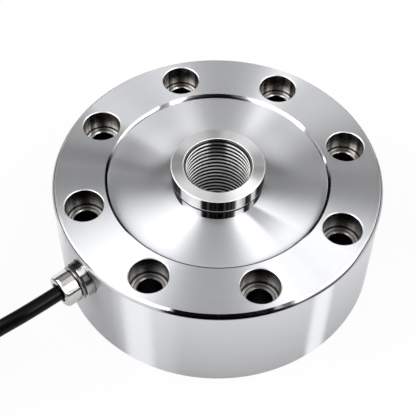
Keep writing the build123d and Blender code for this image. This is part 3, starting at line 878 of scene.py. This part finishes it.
def make_thread():
    """The hub's right-hand thread, its ridges 2 mm apart, let into the wall of the bore."""
    pitch = 0.002
    ridge_foot = 0.00176
    crest_share = 0.29
    first_ridge = 0.00278
    turns = 23
    middle_radius = (thread_root + thread_crest) / 2
    bpy.ops.object.select_all(action="DESELECT")
    bpy.ops.mesh.primitive_plane_add(
        size=1.0, location=(middle_radius, 0, first_ridge), rotation=(radians(90), 0, 0)
    )
    thread = bpy.context.object
    thread.name = "hub_thread"
    thread.scale = (thread_root - thread_crest, ridge_foot, 1.0)
    bpy.ops.object.transform_apply(location=True, rotation=True, scale=True)
    bpy.ops.object.mode_set(mode="EDIT")
    bpy.ops.mesh.select_all(action="SELECT")
    bpy.ops.mesh.delete(type="ONLY_FACE")
    bpy.ops.object.mode_set(mode="OBJECT")
    for vertex in thread.data.vertices:
        if vertex.co.x < middle_radius:
            vertex.co.z = first_ridge + (vertex.co.z - first_ridge) * crest_share
    edge_mesh = bmesh.new()
    edge_mesh.from_mesh(thread.data)
    outer = [
        edge for edge in edge_mesh.edges
        if all(vertex.co.x > middle_radius for vertex in edge.verts)
    ]
    bmesh.ops.delete(edge_mesh, geom=outer, context="EDGES")
    edge_mesh.to_mesh(thread.data)
    edge_mesh.free()
    screw = thread.modifiers.new("winding", "SCREW")
    screw.axis = "Z"
    screw.screw_offset = pitch
    screw.iterations = turns
    screw.steps = 64
    screw.render_steps = 64
    screw.use_merge_vertices = False
    pick(thread)
    bpy.ops.object.modifier_apply(modifier="winding")
    for vertex in thread.data.vertices:
        flat = Vector((vertex.co.x, vertex.co.y, 0))
        cone = bore_mouth - (hub_top - vertex.co.z)
        if flat.length < cone:
            flat = flat.normalized() * cone
        vertex.co = Vector((flat.x, flat.y, min(vertex.co.z, hub_top - 0.0001)))
    thread.data.materials.clear()
    thread.data.materials.append(bore_steel)
    bpy.ops.object.mode_set(mode="EDIT")
    bpy.ops.mesh.select_all(action="SELECT")
    bpy.ops.mesh.normals_make_consistent(inside=False)
    bpy.ops.object.mode_set(mode="OBJECT")
    inward = sum(
        1 if face.normal.dot(Vector((face.center.x, face.center.y, 0))) < 0 else -1
        for face in thread.data.polygons
    )
    if inward < 0:
        thread.data.flip_normals()
    smooth(thread, 40)
    dress(thread, slot="body_steel")


make_thread()

for node_name, piece_name, finish in (
    ("gland_adapter", "gland_boss", boss_nickel),
    ("gland_seal", "gland_washer", gland_black),
    ("lock_ring", "gland_lock_ring", ring_nickel),
    ("gland_nut", "gland_dome_nut", nut_nickel),
    ("gland_bush", "gland_grip", gland_black),
):
    solid_copy(node_name, piece_name, (finish,), 25)


# The cable: out of the gland, down to the bench, and wound up beside the load cell

cable_radius = 0.0027
turn_pitch = 2 * cable_radius
turns_across = 3
turns_a_layer = 4
coil_layers = 4
coil_low, coil_high = box_of("cable_coil")
coil_x, coil_y = [(low + high) / 2 for low, high in zip(coil_low[:2], coil_high[:2])]
coil_middle = Vector((coil_x, coil_y, 0.0))
outer_turn = coil_high[0] - coil_x - cable_radius
inner_turn = outer_turn - turns_across * turn_pitch
top_turn = coil_high[2] - cable_radius
bottom_turn = coil_low[2] + cable_radius
coil_side = coil_y - outer_turn
end_low = box_of("cable_end")[0]
end_y, end_z = end_low[1] + cable_radius, end_low[2] + cable_radius
points_a_turn = 14
layer_swell = 0.0010
cable_route = [
    (nut_mouth, 0.0, gland_height),
    (-0.083, 0.0, gland_height),
    (-0.0965, 0.0028, 0.0302),
    (-0.110, 0.0056, 0.0246),
    (-0.1235, coil_side, top_turn),
    (coil_x, coil_side, top_turn),
]
end_route = [
    (coil_x, coil_side, bottom_turn),
    (coil_x - 0.008, coil_side, bottom_turn),
    (end_low[0] + 0.007, end_y, end_z),
    (end_low[0], end_y, end_z),
]


def turn_place(turns):
    """Where the winding is after so many turns: three turns across, then one down, and so on."""
    layer = int(turns // turns_a_layer)
    within = turns - turns_a_layer * layer
    across = min(within, turns_across) * turn_pitch
    down = max(within - turns_across, 0.0)
    swell = layer_swell * sin(pi * down)
    if layer % 2 == 0:
        radius = outer_turn - across - swell
    else:
        radius = inner_turn + across + swell
    eased = down * down * (3 - 2 * down)
    height = top_turn - (layer + eased) * turn_pitch
    angle = radians(-90 - 360 * turns)
    return coil_middle + Vector((radius * cos(angle), radius * sin(angle), height))


all_turns = coil_layers * turns_a_layer - 1
winding = [turn_place(step / points_a_turn) for step in range(1, all_turns * points_a_turn)]


def smooth_line(name, points, fine, radius=0.0):
    """A NURBS line through free air, with the given points as its control points."""
    curve = bpy.data.curves.new(name, "CURVE")
    curve.dimensions = "3D"
    curve.resolution_u = fine
    curve.bevel_depth = radius
    curve.bevel_resolution = 6
    curve.use_fill_caps = True
    line = curve.splines.new("NURBS")
    line.points.add(len(points) - 1)
    for point, place in zip(line.points, points):
        point.co = (*place, 1.0)
    line.order_u = 3
    line.use_endpoint_u = True
    return place_in_scene(name, curve)


cable = smooth_line("signal_cable", cable_route + winding + end_route, 4, cable_radius)
cable.data.materials.append(jacket)
dress(cable, "cable", "cable_coil", "cable_end", slot="cable_jacket")


def read_line(points):
    """The places along the smooth line that has these control points."""
    line = smooth_line("route", points, 12)
    mesh = bpy.data.meshes.new_from_object(line)
    places = [vertex.co.copy() for vertex in mesh.vertices]
    bpy.data.objects.remove(line)
    bpy.data.meshes.remove(mesh)
    return places


def tube(name, places, radius, finish, sides=16):
    """A round tube with flat ends along read places."""
    work = bmesh.new()
    rings = []
    for number, place in enumerate(places):
        before = places[max(number - 1, 0)]
        after = places[min(number + 1, len(places) - 1)]
        along = (after - before).normalized()
        side = along.cross(Vector((0, 0, 1))).normalized()
        up = side.cross(along)
        ring = []
        for step in range(sides):
            angle = 2 * pi * step / sides
            offset = (side * cos(angle) + up * sin(angle)) * radius
            ring.append(work.verts.new(place + offset))
        rings.append(ring)
    for first, second in zip(rings, rings[1:]):
        for step in range(sides):
            after = (step + 1) % sides
            work.faces.new((first[step], first[after], second[after], second[step]))
    work.faces.new(rings[0])
    work.faces.new(list(reversed(rings[-1])))
    bmesh.ops.recalc_face_normals(work, faces=work.faces)
    mesh = bpy.data.meshes.new(name)
    work.to_mesh(mesh)
    work.free()
    mesh.materials.append(finish)
    piece = place_in_scene(name, mesh)
    smooth(piece, 40)
    return piece


# The bare end: the cores fan out and lie down on the bench, each stripped near its tip
core_radius = 0.0006
wire_radius = 0.0004
drain_radius = 0.00035
core_offset = 0.00075
core_rest = 0.00065
drain_rest = 0.0004
drain_sway = 0.000575
upper_fan, lower_fan = 0.0074, 0.0023
straight, bend, tail_length = 0.006, 0.016, 0.032
sheathed_share = 0.82
tail_x, tail_y, tail_z = end_route[-1]
tail_pieces = []
for colour, side, level in (("red", -1, 1), ("black", -1, -1), ("green", 1, -1), ("white", 1, 1)):
    start_y = tail_y + side * core_offset
    start_z = tail_z + level * core_offset
    fan_y = tail_y + side * (upper_fan if level > 0 else lower_fan)
    places = read_line([
        (tail_x, start_y, start_z),
        (tail_x - straight, start_y, start_z),
        (tail_x - bend, (start_y + fan_y) / 2, core_rest),
        (tail_x - tail_length, fan_y, core_rest),
    ])
    strip = int(len(places) * sheathed_share)
    core = tube(f"tail_{colour}_core", places[:strip + 1], core_radius, core_paints[colour])
    dress(core, f"tail_{colour}", slot=f"core_{colour}")
    wire = tube(f"tail_{colour}_wire", places[strip - 1:], wire_radius, tin, 12)
    dress(wire, slot="tinned_wire")
    tail_pieces += [core, wire]
drain_places = read_line([
    (tail_x, tail_y, tail_z),
    (tail_x - straight, tail_y, tail_z),
    (tail_x - bend, tail_y, drain_rest),
    (tail_x - tail_length, tail_y - drain_sway, drain_rest),
])
drain = tube("drain_wire", drain_places, drain_radius, tin, 12)
dress(drain, "tail_drain", slot="tinned_wire")
tail_pieces.append(drain)
ties = [
    solid_copy("coil_tie_1", "cable_tie_1", (tie_cloth,), 40),
    solid_copy("coil_tie_2", "cable_tie_2", (tie_cloth,), 40),
]


# Floor and light: a white bench between two large softboxes, one at each side of the camera

def make_floor():
    bpy.ops.object.select_all(action="DESELECT")
    bpy.ops.mesh.primitive_plane_add(size=6.0, location=(0, 0, 0))
    floor = bpy.context.object
    floor.name = "bench"
    material = bpy.data.materials.new("white bench")
    material.use_nodes = True
    tree = material.node_tree
    shader = tree.nodes["Principled BSDF"]
    shader.inputs["Base Color"].default_value = (0.6, 0.6, 0.6, 1.0)
    shader.inputs["Roughness"].default_value = 0.9
    glow = add_node(tree, "ShaderNodeEmission")
    glow.inputs["Color"].default_value = (1, 1, 1, 1)
    glow.inputs["Strength"].default_value = 1.0
    rays = add_node(tree, "ShaderNodeLightPath").outputs
    mirrored = math_node(tree, "MAXIMUM", rays["Is Glossy Ray"], rays["Is Transmission Ray"])
    seen = multiply(tree, rays["Is Camera Ray"], 0.93)
    share = math_node(tree, "MAXIMUM", seen, multiply(tree, mirrored, 0.5))
    blend = add_node(tree, "ShaderNodeMixShader")
    tree.links.new(share, blend.inputs[0])
    tree.links.new(shader.outputs[0], blend.inputs[1])
    tree.links.new(glow.outputs[0], blend.inputs[2])
    tree.links.new(blend.outputs[0], tree.nodes["Material Output"].inputs["Surface"])
    floor.data.materials.append(material)


def make_world():
    """Soft light by direction: azimuths count from the camera's side, to the right and left."""
    world = bpy.data.worlds.new("studio")
    scene.world = world
    world.use_nodes = True
    tree = world.node_tree
    background = tree.nodes["Background"]
    look = add_node(tree, "ShaderNodeTexCoord").outputs["Generated"]

    def reach(direction):
        node = add_node(tree, "ShaderNodeVectorMath", operation="DOT_PRODUCT")
        tree.links.new(look, node.inputs[0])
        node.inputs[1].default_value = direction
        return node.outputs["Value"]

    right = Vector((camera_right.x, camera_right.y, 0)).normalized()
    away = Vector((-right.y, right.x, 0))
    azimuth = multiply(tree, angle_of(tree, reach(-away), reach(right)), 180 / pi)
    height = math_node(tree, "ARCSINE", reach(Vector((0, 0, 1))))
    height = multiply(tree, height, 180 / pi)
    turn = absolute(tree, azimuth)

    def between(value, low, high, soft):
        """1 inside the range, falling to 0 over a soft edge outside it."""
        return band_node(tree, value, (low - soft, low), (high, high + soft))

    def window(azimuths, heights):
        """1 inside a range of azimuths and one of heights, each (low, high, soft)."""
        return multiply(tree, between(azimuth, *azimuths), between(height, *heights))

    left_box = window((-118.0, -44.0, 4.0), (20.0, 62.0, 5.0))
    right_box = window((37.0, 118.0, 4.0), (32.0, 62.0, 5.0))
    softboxes = add(tree, left_box, multiply(tree, right_box, 1.35))
    gap = window((72.0, 84.0, 3.0), (44.0, 62.0, 5.0))
    slit = window((56.0, 60.0, 2.0), (20.0, 44.0, 3.0))
    gap = math_node(tree, "MAXIMUM", gap, multiply(tree, slit, 0.9))
    strip = window((84.0, 92.0, 4.0), (-10.0, 26.0, 5.0))
    bright = add(
        tree, multiply(tree, softboxes, subtract(tree, 1.0, gap)), multiply(tree, strip, 0.25)
    )
    widening = multiply(tree, subtract(tree, height, 36.0), 0.9)
    card = multiply(
        tree, between(add(tree, turn, widening), -90.0, 34.0, 4.0),
        between(height, 14.0, 60.0, 6.0),
    )
    room_light, overhead_light, box_light = 0.34, 0.9, 3.9
    overhead = ramp_node(tree, height, 62.0, 72.0)
    behind = multiply(
        tree, ramp_node(tree, turn, 100.0, 112.0), ramp_node(tree, height, 8.0, 20.0, 1.0, 0.0)
    )
    level = add(tree, room_light, multiply(tree, overhead, overhead_light))
    level = multiply(tree, level, subtract(tree, 1.0, multiply(tree, behind, 0.8)))
    level = multiply(tree, level, subtract(tree, 1.0, card))
    level = add(tree, level, multiply(tree, bright, box_light))
    seen = add_node(tree, "ShaderNodeLightPath").outputs["Is Camera Ray"]
    level = add(tree, multiply(tree, level, subtract(tree, 1.0, seen)), seen)
    background.inputs["Color"].default_value = (1, 1, 1, 1)
    tree.links.new(level, background.inputs["Strength"])


make_floor()
make_world()
scene.view_settings.view_transform = "Standard"
